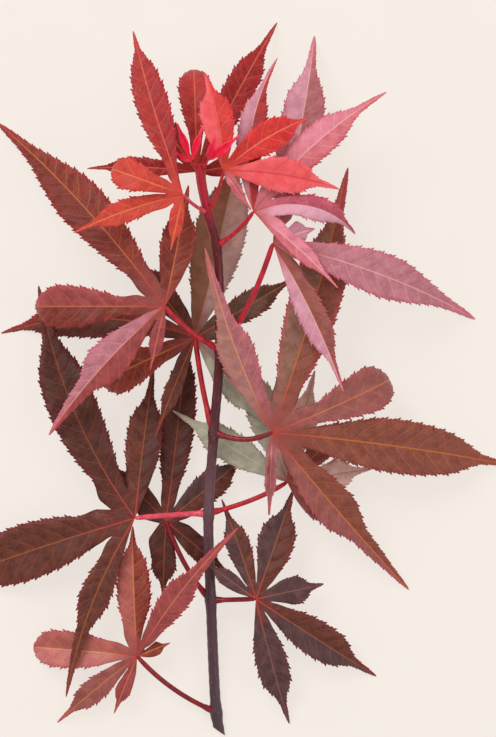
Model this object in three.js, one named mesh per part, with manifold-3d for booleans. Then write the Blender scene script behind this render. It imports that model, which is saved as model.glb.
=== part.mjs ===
// A cut leading shoot of a red-leaved japanese maple, lying on flat ground.
// Millimetres, +Z up, +Y from the cut end towards the growing tip. Leaves stand in opposite pairs,
// numbered from the cut end; each leaf is a palmate blade of pointed lobes on its own red stalk.
// Places are measured from the middle of the cut face, and the whole is recentred at the end.
import * as THREE from "three";
import { mergeVertices } from "three/addons/utils/BufferGeometryUtils.js";
import Module from "manifold-3d";

// Driving dimensions, with lengths in millimetres and angles in degrees
const CUT_RADIUS = 1.5;
const TIP_RADIUS = 1.15;
const TAPER_POWER = 1.3;
const CUT_SLANT = 35;
const NODE_SWELLING = 0.35;
const NODE_SWELLING_REACH = 3;
const STALK_FOOT_SWELLING = 1.35;
const STALK_FOOT_REACH = 3;
const STALK_GAP = 0.3;
const GAP_SPARE = 1.05;
const STALK_BEND_SHARE = { x: 0.6, y: 0.35, z: 0.3 };
const BLADE_THICKNESS_SHARE = 0.012;
const THINNEST_BLADE = 0.5;
const WEB_SHARE = 0.15;
const LONGEST_WEB_SHARE = 0.22;
const MIDRIB_FOLD = 14;

// A lobe is widest at its middle, narrows quickly beyond it and is drawn out into a long thin tail; a
// curled one shows a rounded end, whose radius is given as a share of half its width
const BASE_POWER = 1.3;
const TIP_POWER = 1.3;
const TAIL_START_SHARE = 0.62;
const TAIL_REACH_SHARE = 0.2;
const TAIL_NARROWING = 0.55;
const TAIL_WIDTH_SHARE = 0.6;
const TAIL_POWER = 0.6;
const CURLED_TAIL_SHARE = 0.5;
const ROUND_END_SHARE = 1.15;

// The notch between two lobes opens from their web over this length
const NOTCH_REACH = 7;

// Teeth along the margins, pointing forwards
const TOOTH_OUT = 1.1;
const TOOTH_IN = 0.88;
const TOOTH_LEAN = 0.3;
const LAST_TOOTH_SHARE = 0.93;
const LOBE_FREEDOM = 0.9;

// Finish
const STEM_COLOUR = 0x5a2a3c;
const STEM_ROUGHNESS = 0.5;
const LEAF_ROUGHNESS = 0.45;

// How finely the solids are cut
const STEM_SIDES = 10;
const STEM_STATIONS = 30;
const STALK_SIDES = 6;
const STALK_STATIONS = 7;
const WALK_STEPS = 200;
const LONG_LOBE = 20;
const LONG_LOBE_STATIONS = 12;
const SHORT_LOBE_STATIONS = 6;
const CURLED_LOBE_STATIONS = 16;

// The stem's own line: the cut, each leaf pair's node, and the growing tip
const STEM_LINE = [
  [0.3, -2, CUT_RADIUS],
  [0, 0, CUT_RADIUS],
  [-0.8, 5.4, 2],
  [-2.2, 36.8, 6],
  [-2.9, 61.2, 11],
  [-1.4, 83.8, 15],
  [0.3, 106.9, 19],
  [-0.6, 135.6, 24],
  [-3, 144.6, 26],
  [-5.1, 156, 28.2],
  [-5.3, 158, 28.8],
];
const FIRST_NODE = 2;
const NODE_COUNT = 8;

const radians = THREE.MathUtils.degToRad;
const wasm = await Module();
wasm.setup();

// One lobe of a leaf: the compass heading of its midrib at the fork, how far the heading turns by the
// tip, its length and width, its slope at the fork and at the tip, and what makes it unlike the rest
function lobe(heading, turn, length, width, slope, tipSlope, odd = {}) {
  const slopes = { basePower: BASE_POWER, tipPower: TIP_POWER };
  const outline = { ...slopes, tailStart: TAIL_START_SHARE, tailReach: TAIL_REACH_SHARE };
  const usual = { fold: MIDRIB_FOLD, roll: 0, hook: 1, ...outline };
  return { heading, turn, length, width, slope, tipSlope, ...usual, ...odd };
}

const CREASED = { fold: 22 };
const FOLDED = { fold: 55 };
const CURLED_UNDER = { hook: 3, basePower: 1.8, tipPower: 0.9 };
const BLUNT_UNDER = { hook: 3, basePower: 0.9, tipPower: 0.7 };
const EARLY_TAIL = { tailStart: 0.45 };
const LATE_TAIL = { tailStart: 0.72 };
const SLOW_TAIL = { tailStart: 0.45, tailReach: 0.35 };
const WIDEST_LATE = { basePower: 1.8, tipPower: 1.5, tailStart: 0.74 };

// Every leaf: the pair it belongs to, the place of its fork, the bend of its stalk where that sags,
// the radius of its stalk and its lobes, anticlockwise
const LEAVES = {
  leaf_1_left: {
    pair: 1,
    fork: [-22.8, 21.2, 8],
    stalk: 0.7,
    colour: 0xb4545c,
    lobes: [
      lobe(22, 0, 10, 4, 0, -10),
      lobe(60, -16, 47, 7.8, 22, -4, EARLY_TAIL),
      lobe(94, -4, 36.5, 9, 6, -10, LATE_TAIL),
      lobe(173, 6, 37, 10, 0, -110, BLUNT_UNDER),
      lobe(217, 6, 30.5, 6.2, -4, -24),
      lobe(247, 2, 18, 4.5, -6, -20, CREASED),
    ],
  },
  leaf_2_left: {
    pair: 2,
    fork: [-14.8, 58.9, 5],
    stalk: 0.7,
    colour: 0x4c2830,
    lobes: [
      lobe(-40, 0, 23.5, 6.2, 0, -12),
      lobe(38, 2, 30.5, 7.8, -4, -8),
      lobe(82, 4, 55, 9, 0, -8, LATE_TAIL),
      lobe(134, 2, 24.5, 6.2, -4, -14),
      lobe(266, 4, 22, 6.7, 0, -14),
    ],
  },
  leaf_2_right: {
    pair: 2,
    fork: [10.3, 37.3, 12],
    stalk: 0.7,
    colour: 0x54404e,
    lobes: [
      lobe(-77, 4, 38.5, 8.4, -4, -30),
      lobe(-34, 2, 42.5, 9.8, -4, -30),
      lobe(12, 0, 20.5, 7.8, -4, -30),
      lobe(70, 2, 32.5, 9.8, -2, -14),
      lobe(107, 4, 30, 6.2, -6, -16),
      lobe(144, 0, 18, 4.5, 6, -2),
    ],
  },
  leaf_3_left: {
    pair: 3,
    fork: [-23.4, 59.8, 12],
    stalk: 0.75,
    colour: 0x5e3030,
    lobes: [
      lobe(84, -2, 43.5, 9.5, -6, -20),
      lobe(126, -27, 71.5, 13.4, 0, -12),
      lobe(196, 6, 65, 15.4, -4, -30),
      lobe(238, 22, 54, 8.4, 0, -6, EARLY_TAIL),
    ],
  },
  leaf_3_right: {
    pair: 3,
    fork: [19, 69.8, 9.5],
    stalk: 0.7,
    colour: 0x8f7d80,
    lobes: [
      lobe(-42, 0, 20.5, 5.6, -4, -20),
      lobe(9, 0, 24.5, 8.4, -2, -16),
      lobe(44, 0, 23, 6.2, -2, -14),
      lobe(76, 0, 32.5, 8.4, -2, -12),
      lobe(108, 2, 41, 9, -2, -8),
      lobe(148, 0, 38, 8.4, -2, -10),
    ],
  },
  leaf_4_left: {
    pair: 4,
    fork: [-6.6, 110.1, 12],
    stalk: 0.75,
    colour: 0x5f3d2f,
    lobes: [
      lobe(-52, 2, 33, 7.3, 2, -8),
      lobe(31, 0, 34.5, 7.3, 0, -10),
      lobe(76, 2, 58, 14, 2, -10),
      lobe(127, 2, 31, 7.3, -2, -14),
      lobe(159, 40, 57.5, 10.5, -6, -22, LATE_TAIL),
      lobe(205, 0, 36, 10.8, 2, -100, CURLED_UNDER),
      lobe(246, 4, 30, 4.5, 0, -6, CREASED),
    ],
  },
  leaf_4_right: {
    pair: 4,
    fork: [14.8, 83.8, 20],
    bend: [7.5, 79.8, 17.5],
    stalk: 0.75,
    colour: 0x8d4a44,
    lobes: [
      lobe(-92, 0, 24, 4.6, -8, -20, FOLDED),
      lobe(-51, 4, 62, 11.4, -6, -30, EARLY_TAIL),
      lobe(-5, -6, 71, 14.8, 0, -35, LATE_TAIL),
      lobe(21, 8, 50, 12.6, 2, -150, CURLED_UNDER),
      lobe(70, 8, 78.5, 14, 0, -20),
      lobe(117, -14, 55, 10, 12, -4, EARLY_TAIL),
    ],
  },
  leaf_5_left: {
    pair: 5,
    fork: [-14.9, 118.7, 27],
    stalk: 0.75,
    colour: 0x933f42,
    lobes: [
      lobe(78, 2, 34.5, 9, 0, -10),
      lobe(126, 14, 80, 13, 4, -52, SLOW_TAIL),
      lobe(180, 0, 43, 11.5, 0, -90, CURLED_UNDER),
      lobe(220, 16, 50.5, 11, -4, -26, EARLY_TAIL),
      lobe(256, 2, 18.5, 4, -4, -14, CREASED),
    ],
  },
  leaf_5_right: {
    pair: 5,
    fork: [15, 136.2, 27],
    stalk: 0.75,
    colour: 0xb06a80,
    lobes: [
      lobe(-58, -13, 46, 7.4, -2, -10),
      lobe(-12, -18, 70, 12, 4, -54, SLOW_TAIL),
      lobe(25, -12, 13.5, 6.5, -2, -40),
      lobe(74, 10, 68, 11.4, 0, -50),
    ],
  },
  leaf_6_left: {
    pair: 6,
    fork: [-6.1, 156.1, 18],
    stalk: 0.6,
    colour: 0x8c2c34,
    lobes: [
      lobe(10, 0, 14, 5, 0, -10),
      lobe(64, -4, 52, 8.2, 0, -40),
      lobe(91, 2, 36, 8.4, 4, -110, CURLED_UNDER),
      lobe(125, 2, 27.5, 5.6, -2, -20),
      lobe(172, 12, 33, 5.2, 0, -36),
    ],
  },
  leaf_6_right: {
    pair: 6,
    fork: [9.6, 144.8, 31],
    stalk: 0.65,
    colour: 0xd0506c,
    lobes: [
      lobe(-36, -12, 32, 4.8, -2, -12, CREASED),
      lobe(22, -76, 37, 6.6, 4, -60, { roll: 40 }),
      lobe(54, -24, 51, 8.9, -7, -12),
      lobe(102, -42, 44.5, 7, -4, -8),
    ],
  },
  leaf_7_left: {
    pair: 7,
    fork: [-9.7, 149.4, 38],
    stalk: 0.5,
    colour: 0xd2483a,
    lobes: [
      lobe(111, -8, 49, 8.8, 2, -24, WIDEST_LATE),
      lobe(160, 0, 27, 8.4, 16, -130, CURLED_UNDER),
      lobe(192, 14, 33.5, 6, -4, -24),
      lobe(256, 2, 16.5, 3.8, -8, -24),
    ],
  },
  leaf_7_right: {
    pair: 7,
    fork: [1.4, 156.1, 33.5],
    stalk: 0.5,
    colour: 0xe0473c,
    lobes: [
      lobe(-56, 2, 13.5, 3.6, -10, -16, FOLDED),
      lobe(1, -20, 33, 9.2, 5, -20),
      lobe(43, -22, 28.5, 8.5, 8, -30, WIDEST_LATE),
      lobe(93, 16, 29, 8.6, 6, -30),
    ],
  },
  young_leaf_left: {
    pair: 8,
    fork: [-7.6, 158.6, 31.2],
    stalk: 0.35,
    colour: 0xe01a48,
    lobes: [
      lobe(72, 0, 10.5, 3, 26, 10, FOLDED),
      lobe(109, 2, 11.5, 3, 14, 4, FOLDED),
      lobe(150, 0, 5, 2.6, 10, 0, FOLDED),
    ],
  },
  young_leaf_right: {
    pair: 8,
    fork: [-3, 158.9, 33.5],
    stalk: 0.35,
    colour: 0xe01a48,
    lobes: [
      lobe(34, 8, 13, 3.6, 44, 20, FOLDED),
      lobe(72, 0, 9, 3, 50, 30, FOLDED),
    ],
  },
};

// A closed mesh as a solid of the boolean library, and back
function solidOf(geometry) {
  const merged = mergeVertices(geometry, 1e-4);
  return new wasm.Manifold(
    new wasm.Mesh({
      numProp: 3,
      vertProperties: new Float32Array(merged.attributes.position.array),
      triVerts: new Uint32Array(merged.index.array),
    }),
  );
}

function geometryOf(solid) {
  const mesh = solid.getMesh();
  const geometry = new THREE.BufferGeometry();
  geometry.setAttribute("position", new THREE.BufferAttribute(mesh.vertProperties, 3));
  geometry.setIndex(new THREE.BufferAttribute(mesh.triVerts, 1));
  geometry.computeVertexNormals();
  return geometry;
}

function indexedGeometry(positions, index) {
  const geometry = new THREE.BufferGeometry();
  geometry.setAttribute("position", new THREE.Float32BufferAttribute(positions, 3));
  geometry.setIndex(index);
  return geometry;
}

// A closed tapering limb: rings of the given radius along a curve, with a flat face at each end
function limbGeometry(curve, radiusAt, stations, sides) {
  const frames = curve.computeFrenetFrames(stations, false);
  const positions = [];
  const index = [];
  for (let s = 0; s <= stations; s++) {
    const centre = curve.getPointAt(s / stations);
    const radius = radiusAt(s / stations);
    for (let k = 0; k < sides; k++) {
      const angle = (2 * Math.PI * k) / sides;
      const rim = centre
        .clone()
        .addScaledVector(frames.normals[s], radius * Math.cos(angle))
        .addScaledVector(frames.binormals[s], radius * Math.sin(angle));
      positions.push(...rim.toArray());
    }
  }
  for (let s = 0; s < stations; s++) {
    for (let k = 0; k < sides; k++) {
      const a = s * sides + k;
      const b = s * sides + ((k + 1) % sides);
      index.push(a, b, b + sides, a, b + sides, a + sides);
    }
  }
  const last = stations * sides;
  for (let k = 1; k < sides - 1; k++) {
    index.push(0, k + 1, k, last, last + k, last + k + 1);
  }
  return indexedGeometry(positions, index);
}

// The stem tapers from the cut to the tip, swells at each node and is cut off on a slant
const stemPoints = STEM_LINE.map((point) => new THREE.Vector3(...point));
const stemCurve = new THREE.CatmullRomCurve3(stemPoints, false, "centripetal");
const nodePlaces = stemPoints.slice(FIRST_NODE, FIRST_NODE + NODE_COUNT);

function stemRadius(share) {
  const place = stemCurve.getPointAt(share);
  const nearest = Math.min(...nodePlaces.map((node) => node.distanceTo(place)));
  const swelling = NODE_SWELLING * Math.max(0, 1 - nearest / NODE_SWELLING_REACH);
  return THREE.MathUtils.lerp(CUT_RADIUS, TIP_RADIUS, share ** TAPER_POWER) + swelling;
}

function stemSolid(clearance) {
  const radiusAt = (share) => stemRadius(share) + clearance;
  return solidOf(limbGeometry(stemCurve, radiusAt, STEM_STATIONS, STEM_SIDES));
}

function cutOnSlant(solid) {
  const slant = radians(CUT_SLANT);
  return solid.trimByPlane([Math.sin(slant), Math.cos(slant), 0], 0);
}

// The midrib of a lobe, walked from the fork in short steps: place, way along, left and upward
function walkMidrib(fork, spec) {
  const walk = [];
  const place = fork.clone();
  for (let s = 0; s <= WALK_STEPS; s++) {
    const share = s / WALK_STEPS;
    const heading = radians(spec.heading + spec.turn * share);
    const slope = radians(spec.slope + (spec.tipSlope - spec.slope) * share ** spec.hook);
    const along = new THREE.Vector3(
      Math.cos(slope) * Math.cos(heading),
      Math.cos(slope) * Math.sin(heading),
      Math.sin(slope),
    );
    const levelLeft = new THREE.Vector3(-Math.sin(heading), Math.cos(heading), 0);
    const left = levelLeft.applyAxisAngle(along, radians(spec.roll * share));
    const up = new THREE.Vector3().crossVectors(along, left);
    walk.push({ place: place.clone(), along, left, up });
    place.addScaledVector(along, spec.length / WALK_STEPS);
  }
  return walk;
}

// How far a curled lobe reaches in plan before its tip turns under, and the share of its length there
function curlOf(walk) {
  const ahead = walk.map(({ place }) => Math.hypot(place.x - walk[0].place.x, place.y - walk[0].place.y));
  const reach = Math.max(...ahead);
  return { ahead, reach, crestShare: ahead.indexOf(reach) / WALK_STEPS };
}

// Half the width of a lobe at a share of its length
function halfWidth(share, spec, walk) {
  const lance = (at) => at ** spec.basePower * (1 - at) ** spec.tipPower;
  const widest = spec.basePower / (spec.basePower + spec.tipPower);
  const plain = (spec.width / 2) * (lance(share) / lance(widest));
  const thin = (spec.width / 2) * TAIL_WIDTH_SHARE;
  const tail = share > widest ? thin * (1 - share) ** TAIL_POWER : 0;
  if (spec.hook === 1) {
    const tailEnd = spec.tailStart + spec.tailReach;
    const intoTail = THREE.MathUtils.smoothstep(share, spec.tailStart, tailEnd);
    return Math.max(plain * (1 - TAIL_NARROWING * intoTail), tail);
  }
  const { ahead, reach, crestShare } = curlOf(walk);
  const endRadius = (spec.width / 2) * ROUND_END_SHARE;
  const intoEnd = (ahead[Math.round(share * WALK_STEPS)] - reach + endRadius) / endRadius;
  const rounded = plain * Math.sqrt(1 - THREE.MathUtils.clamp(intoEnd, 0, 1) ** 2);
  const hidden = tail * CURLED_TAIL_SHARE;
  return share < crestShare ? Math.max(rounded, hidden) : hidden;
}

// How wide a lobe may be before it would run into its neighbour, which is never half their gap
function roomBeside(spec, neighbour, share) {
  const distance = share * spec.length;
  if (!neighbour || distance > neighbour.length) {
    return Infinity;
  }
  const ownHeading = spec.heading + (spec.turn * share) / 2;
  const otherHeading = neighbour.heading + (neighbour.turn * distance) / neighbour.length / 2;
  return LOBE_FREEDOM * distance * Math.sin(radians(Math.abs(ownHeading - otherHeading) / 2));
}

// A palmate blade: lobes that share a web round the fork, toothed beyond it and given their thickness
// downwards, and held up by the ground wherever they would sink into it
function bladeGeometry(leaf) {
  const fork = new THREE.Vector3(...leaf.fork);
  const longest = Math.max(...leaf.lobes.map((spec) => spec.length));
  const thickness = Math.max(THINNEST_BLADE, BLADE_THICKNESS_SHARE * longest);
  const meanLength = leaf.lobes.reduce((sum, spec) => sum + spec.length, 0) / leaf.lobes.length;
  const tops = [];
  const ups = [];
  const add = (place, up) => {
    tops.push(place);
    ups.push(up.clone().normalize());
    return tops.length - 1;
  };
  const forkUp = new THREE.Vector3();
  const ribs = leaf.lobes.map((spec, i) => {
    const walk = walkMidrib(fork, spec);
    forkUp.add(walk[0].up);
    const at = (share) => walk[Math.round(share * WALK_STEPS)];
    const webShare = Math.min(LONGEST_WEB_SHARE, (WEB_SHARE * meanLength) / spec.length);
    const plainCount = spec.length > LONG_LOBE ? LONG_LOBE_STATIONS : SHORT_LOBE_STATIONS;
    const count = spec.hook === 1 ? plainCount : CURLED_LOBE_STATIONS;
    const pitch = (LAST_TOOTH_SHARE - webShare) / count;
    const stations = [];
    for (let k = 1; k <= count; k++) {
      const share = webShare + k * pitch;
      const isTooth = k % 2 === 1;
      const { place, along, left, up } = at(share);
      const toothed = halfWidth(share, spec, walk) * (isTooth ? TOOTH_OUT : TOOTH_IN);
      const closing = 1 - THREE.MathUtils.smoothstep(k * pitch * spec.length, 0, NOTCH_REACH);
      const edge = (side, neighbour) => {
        const webHalf = neighbour ? roomBeside(spec, neighbour, webShare) : 0;
        const notch = Math.max(0, webHalf - halfWidth(webShare, spec, walk)) * closing;
        const half = Math.min(toothed + notch, roomBeside(spec, neighbour, share));
        return place
          .clone()
          .addScaledVector(left, side * half * Math.cos(radians(spec.fold)))
          .addScaledVector(up, half * Math.sin(radians(spec.fold)))
          .addScaledVector(along, isTooth ? TOOTH_LEAN * pitch * spec.length : 0);
      };
      stations.push({
        mid: add(place, up),
        left: add(edge(1, leaf.lobes[i + 1]), up),
        right: add(edge(-1, leaf.lobes[i - 1]), up),
      });
    }
    const inner = at(webShare);
    return {
      spec,
      walk,
      inner,
      webShare,
      stations,
      innerMid: add(inner.place, inner.up),
      tip: add(at(1).place, at(1).up),
    };
  });
  const forkVertex = add(fork, forkUp);
  const between = (a, b) => {
    const place = a.place.clone().add(b.place).multiplyScalar(0.5);
    return add(place, a.up.clone().add(b.up));
  };
  const outer = (rib, side) => {
    const half = halfWidth(rib.webShare, rib.spec, rib.walk);
    return add(rib.inner.place.clone().addScaledVector(rib.inner.left, side * half), rib.inner.up);
  };
  ribs.forEach((rib, i) => {
    rib.webRight = i === 0 ? outer(rib, -1) : ribs[i - 1].webLeft;
    rib.webLeft = i === ribs.length - 1 ? outer(rib, 1) : between(rib.inner, ribs[i + 1].inner);
  });

  const faces = [];
  const quad = (a, b, c, d) => faces.push([a, b, c], [a, c, d]);
  for (const rib of ribs) {
    const rows = [{ mid: rib.innerMid, left: rib.webLeft, right: rib.webRight }, ...rib.stations];
    faces.push([forkVertex, rib.innerMid, rib.webLeft], [forkVertex, rib.webRight, rib.innerMid]);
    rows.slice(1).forEach((row, k) => {
      quad(rows[k].mid, row.mid, row.left, rows[k].left);
      quad(rows[k].right, row.right, row.mid, rows[k].mid);
    });
    const end = rows[rows.length - 1];
    faces.push([end.mid, rib.tip, end.left], [end.right, rib.tip, end.mid]);
  }

  const count = tops.length;
  const positions = [];
  for (const top of tops) {
    positions.push(top.x, top.y, Math.max(top.z, thickness));
  }
  tops.forEach((top, i) => {
    const under = top.clone().addScaledVector(ups[i], -thickness);
    positions.push(under.x, under.y, Math.max(under.z, 0));
  });
  const edges = new Map();
  for (const [a, b, c] of faces) {
    for (const [p, q] of [[a, b], [b, c], [c, a]]) {
      edges.set(`${p},${q}`, [p, q]);
    }
  }
  const index = [];
  for (const [a, b, c] of faces) {
    index.push(a, b, c, a + count, c + count, b + count);
  }
  for (const [p, q] of edges.values()) {
    if (!edges.has(`${q},${p}`)) {
      index.push(q, p, p + count, q, p + count, q + count);
    }
  }
  return indexedGeometry(positions, index);
}

// The stalk leaves its node sideways and swings round into the leaf's fork
function stalkGeometry(leaf) {
  const foot = nodePlaces[leaf.pair - 1];
  const fork = new THREE.Vector3(...leaf.fork);
  const reach = fork.distanceTo(foot);
  const usualBend = new THREE.Vector3(
    THREE.MathUtils.lerp(foot.x, fork.x, STALK_BEND_SHARE.x),
    THREE.MathUtils.lerp(foot.y, fork.y, STALK_BEND_SHARE.y),
    THREE.MathUtils.lerp(foot.z, fork.z, STALK_BEND_SHARE.z),
  );
  const bend = leaf.bend ? new THREE.Vector3(...leaf.bend) : usualBend;
  const curve = new THREE.QuadraticBezierCurve3(foot, bend, fork);
  const radiusAt = (share) => {
    const footShare = Math.max(0, 1 - (share * reach) / STALK_FOOT_REACH);
    return leaf.stalk * (1 + (STALK_FOOT_SWELLING - 1) * footShare);
  };
  return limbGeometry(curve, radiusAt, STALK_STATIONS, STALK_SIDES);
}

function leafSolid(leaf, stemWithGap) {
  return solidOf(bladeGeometry(leaf)).add(solidOf(stalkGeometry(leaf))).subtract(stemWithGap);
}

function namedMesh(name, solid, colour, roughness) {
  const material = new THREE.MeshStandardMaterial({ color: colour, roughness, metalness: 0 });
  const mesh = new THREE.Mesh(geometryOf(solid), material);
  mesh.name = name;
  return mesh;
}

const shoot = new THREE.Group();
shoot.add(namedMesh("stem", cutOnSlant(stemSolid(0)), STEM_COLOUR, STEM_ROUGHNESS));
// The gap is measured on the flats of the stem's facets, where it is narrowest
const stemWithGap = stemSolid((STALK_GAP * GAP_SPARE) / Math.cos(Math.PI / STEM_SIDES));
for (const [name, leaf] of Object.entries(LEAVES)) {
  shoot.add(namedMesh(name, leafSolid(leaf, stemWithGap), leaf.colour, LEAF_ROUGHNESS));
}

// The origin is the middle of the ground that the shoot covers
const box = new THREE.Box3().setFromObject(shoot);
const middle = box.getCenter(new THREE.Vector3());
shoot.position.set(-middle.x, -middle.y, -box.min.z);

export default shoot;
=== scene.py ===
# %% [markdown]
# A cut shoot of a red-leaved japanese maple
#
# The real thing is the leading shoot of a small tree: one slender stem with opposite pairs of palmate
# leaves, cut off below the lowest leaf and laid on a pale table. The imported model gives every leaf's
# place and size. Here each plain solid leaf is replaced by a thin one with fine teeth, veins and its
# own colours, grown by the same rule from the same sizes, and the stem by one with bark relief.

import math

import bmesh
import bpy
import numpy as np
from mathutils import Matrix, Vector


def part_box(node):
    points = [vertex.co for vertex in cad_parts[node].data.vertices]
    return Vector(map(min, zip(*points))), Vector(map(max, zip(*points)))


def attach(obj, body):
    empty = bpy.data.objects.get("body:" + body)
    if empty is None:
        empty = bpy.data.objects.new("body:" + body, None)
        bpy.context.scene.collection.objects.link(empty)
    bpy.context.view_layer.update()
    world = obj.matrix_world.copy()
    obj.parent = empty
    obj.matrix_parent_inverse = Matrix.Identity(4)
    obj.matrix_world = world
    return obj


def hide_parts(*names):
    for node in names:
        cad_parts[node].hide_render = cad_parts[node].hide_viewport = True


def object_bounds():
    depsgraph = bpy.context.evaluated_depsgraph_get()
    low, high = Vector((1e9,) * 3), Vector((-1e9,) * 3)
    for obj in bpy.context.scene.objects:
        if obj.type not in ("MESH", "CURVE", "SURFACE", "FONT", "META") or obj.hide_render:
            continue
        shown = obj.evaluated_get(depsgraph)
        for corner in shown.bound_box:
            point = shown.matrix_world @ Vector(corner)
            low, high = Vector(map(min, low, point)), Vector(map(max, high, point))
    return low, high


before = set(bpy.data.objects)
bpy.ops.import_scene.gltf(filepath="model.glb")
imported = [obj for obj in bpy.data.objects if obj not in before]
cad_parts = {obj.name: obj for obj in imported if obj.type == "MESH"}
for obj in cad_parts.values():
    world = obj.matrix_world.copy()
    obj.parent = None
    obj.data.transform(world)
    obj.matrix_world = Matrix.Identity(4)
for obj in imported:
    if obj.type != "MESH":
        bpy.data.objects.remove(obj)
solid_bounds = [list(corner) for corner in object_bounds()]
scene = bpy.context.scene
MM = 0.001
print("solids span, mm:", [round((b - a) / MM, 1) for a, b in zip(*solid_bounds)])

# %% [markdown]
# Colour values
#
# Colours are chosen as hex values, which are sRGB. A shader wants them linear, so one function turns
# them. Another adds a node with its settings and its links in a single call. A span is four numbers:
# where a change starts and ends, and the value at either end, 0 and 1 if left out.


# %% Colour and node helpers
def linear(hex_colour):
    channels = [int(hex_colour[k : k + 2], 16) / 255 for k in (1, 3, 5)]
    turned = [c / 12.92 if c <= 0.04045 else ((c + 0.055) / 1.055) ** 2.4 for c in channels]
    return (*turned, 1)


def feed(tree, node, inputs):
    for name, value in inputs.items():
        socket = node.inputs[name]
        if isinstance(value, bpy.types.NodeSocket):
            tree.links.new(value, socket)
        else:
            socket.default_value = value


def add_node(tree, kind, settings=None, inputs=None):
    node = tree.nodes.new(kind)
    for name, value in (settings or {}).items():
        setattr(node, name, value)
    feed(tree, node, inputs or {})
    return node


def maths(tree, operation, first, second=0.0, third=0.0):
    node = add_node(tree, "ShaderNodeMath", {"operation": operation}, {0: first, 1: second, 2: third})
    return node.outputs[0]


def soft_step(tree, value, low, high, at_low=0.0, at_high=1.0):
    settings = {"interpolation_type": "SMOOTHSTEP"}
    inputs = {"Value": value, "From Min": low, "From Max": high, "To Min": at_low, "To Max": at_high}
    return add_node(tree, "ShaderNodeMapRange", settings, inputs).outputs["Result"]


def mix_colour(tree, share, first, second):
    node = add_node(tree, "ShaderNodeMix", {"data_type": "RGBA"}, {0: share, 6: first, 7: second})
    return node.outputs[2]


def noise(tree, place, size, detail):
    inputs = {"Vector": place, "Scale": 1 / (size * MM), "Detail": detail}
    return add_node(tree, "ShaderNodeTexNoise", inputs=inputs).outputs["Fac"]


def relief(tree, height, strength, depth):
    inputs = {"Strength": strength, "Distance": depth * MM, "Height": height}
    return add_node(tree, "ShaderNodeBump", inputs=inputs).outputs["Normal"]


def new_material(name):
    material = bpy.data.materials.new(name)
    material.use_nodes = True
    tree = material.node_tree
    place = add_node(tree, "ShaderNodeTexCoord").outputs["Object"]
    return material, tree, tree.nodes["Principled BSDF"], place


# %% [markdown]
# Leaf tissue
#
# A maple leaf is a waxy skin over thin pigmented tissue. The wax gives it a satin gloss, so it has a low
# refractive index and a middling roughness. Veins show as fine paler lines: one midrib a lobe, red
# at the fork and orange further out, side veins every 5 mm that leave it forwards and bend towards the
# tip, and between them a net about 2 mm across. Tips and margins blush. The blade mesh carries two UV
# maps: "veins" is measured in centimetres, across from the midrib and along the side veins, and
# "reach" runs from fork to tip and from midrib to margin, so lines follow every turn of the lobe.

# %% Leaf tissue
WAX_IOR = 1.34
LEAF_ROUGHNESS_SPAN = (0.3, 0.7, 0.4, 0.54)
SIDE_VEIN_PITCH = 4.8
MIDRIB_SPAN = (0.12, 0.312, 1.0, 0.0)
SIDE_VEIN_SPAN = (0.065, 0.208, 1.0, 0.0)
NET_SPAN = (0.02, 0.07, 1.0, 0.0)
NET_SIZE = 2.2
MOTTLE_SIZE = 3.0
MOTTLE_SPAN = (0.38, 0.66)
FINEST_VEIN_SIZE = 0.6
VEIN_WANDER, VEIN_WANDER_SIZE = 3.0, 9.0
CM_TO_MM = 10.0
FORK_SPAN = (0.02, 0.24, 0.85, 0.0)
TIP_BLUSH_SPAN = (0.72, 0.97, 0.0, 0.75)
MARGIN_BLUSH_SPAN = (0.78, 1.0, 0.0, 0.5)
FORK_VEIN_HEX = "#C23E34"
VEIN_HEX_SPAN = (0.05, 0.3)
MIDRIB_FADE_SPAN = (0.7, 1.0, 0.75, 0.3)
SIDE_VEIN_SHARE, NET_SHARE = 0.38, 0.14
PILLOW_HEIGHT, GRAIN_HEIGHT, NET_DEPTH = 1.6, 0.5, 0.35
LEAF_RELIEF = (0.6, 0.16)


def two_of(tree, uv_map):
    both = add_node(tree, "ShaderNodeUVMap", {"uv_map": uv_map})
    parts = add_node(tree, "ShaderNodeSeparateXYZ", inputs={0: both.outputs[0]})
    return parts.outputs["X"], parts.outputs["Y"]


def vein_masks(tree, place):
    across, along = two_of(tree, "veins")
    across = maths(tree, "MULTIPLY", maths(tree, "ABSOLUTE", across), CM_TO_MM)
    wander = noise(tree, place, VEIN_WANDER_SIZE, 1.0)
    drift = maths(tree, "MULTIPLY_ADD", wander, VEIN_WANDER, -VEIN_WANDER / 2)
    along = maths(tree, "ADD", maths(tree, "MULTIPLY", along, CM_TO_MM), drift)
    in_pitches = maths(tree, "DIVIDE", along, SIDE_VEIN_PITCH)
    from_vein = maths(tree, "MULTIPLY", maths(tree, "PINGPONG", in_pitches, 0.5), SIDE_VEIN_PITCH)
    midrib = soft_step(tree, across, *MIDRIB_SPAN)
    return midrib, soft_step(tree, from_vein, *SIDE_VEIN_SPAN), from_vein


def cell_edges(tree, place, size):
    inputs = {"Vector": place, "Scale": 1 / (size * MM)}
    cells = add_node(tree, "ShaderNodeTexVoronoi", {"feature": "DISTANCE_TO_EDGE"}, inputs)
    return cells.outputs["Distance"]


def fine_veins(tree, side, side_share, net, net_share):
    side = maths(tree, "MULTIPLY", side, side_share)
    return maths(tree, "MAXIMUM", side, maths(tree, "MULTIPLY", net, net_share))


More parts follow.
